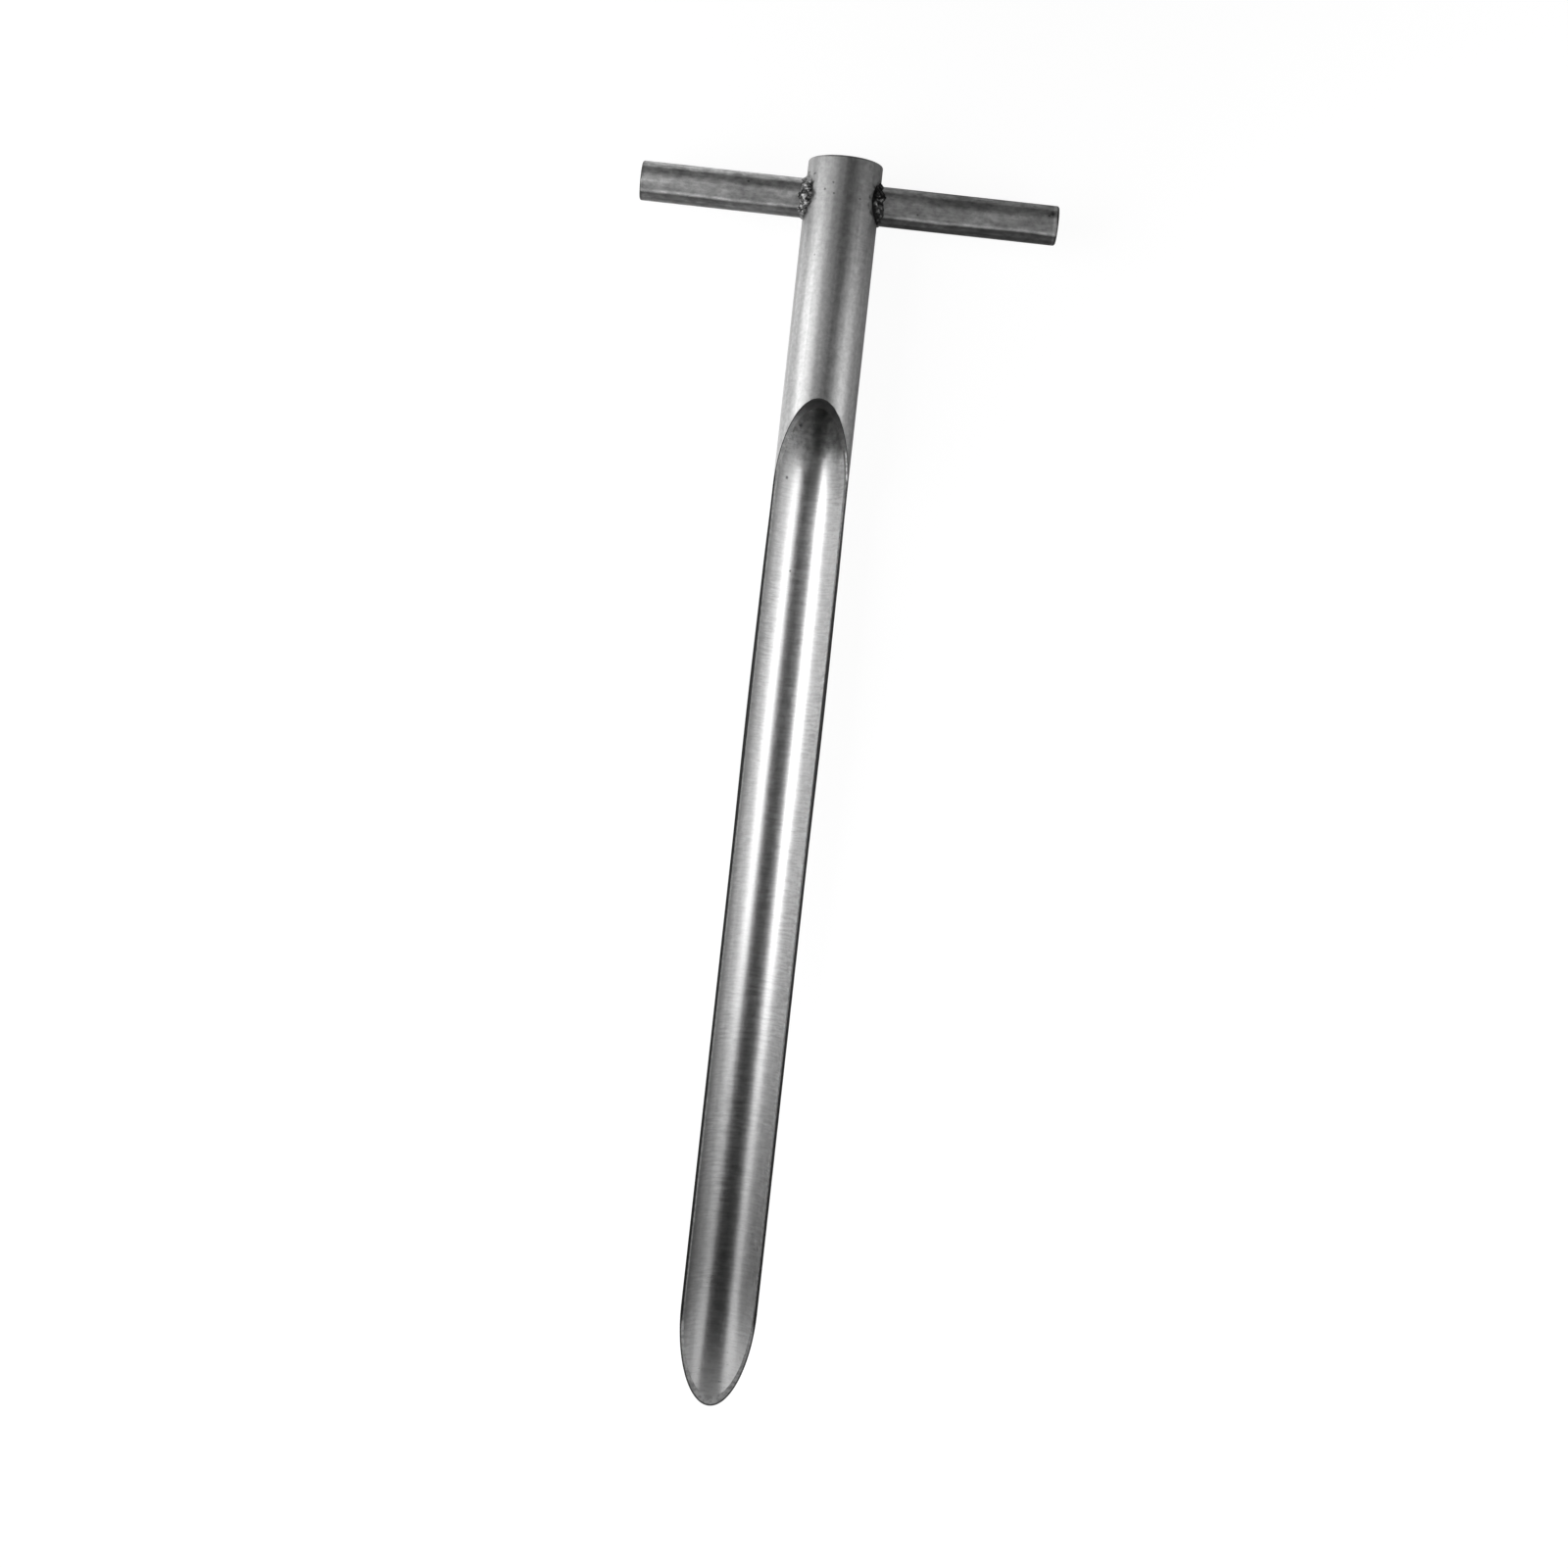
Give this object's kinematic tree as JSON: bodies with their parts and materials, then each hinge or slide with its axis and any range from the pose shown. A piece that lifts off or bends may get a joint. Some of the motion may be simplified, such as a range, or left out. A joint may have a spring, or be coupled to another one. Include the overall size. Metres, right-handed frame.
{
  "type": "soil sampling probe",
  "caption": "Steel soil sampling probe: a tube cut open below an oblique shoulder into a half-round scoop with a pointed tip, with a round bar welded through its upper end as a T handle.",
  "frame": {"origin": "on the surface that the probe lies on, under the middle of its length and of its handle bar", "axes": "+X along the handle bar, towards its longer arm; +Y up the tube, from the tip towards the handle; +Z out of the open scoop"},
  "size_m": [0.1006, 0.3026, 0.018],
  "materials": {
    "tube_steel": "polished round the tube with a fine belt, satin, with a few pits",
    "bar_steel": "drawn along the bar, duller than the tube, with streaks and stains",
    "weld_metal": "as laid, dark and rough, with bright specks"
  },
  "bodies": {
    "root": {"probe_tube": "tube_steel", "handle_bar": "bar_steel", "weld_bead_left": "weld_metal", "weld_bead_right": "weld_metal"}
  },
  "joints": []
}
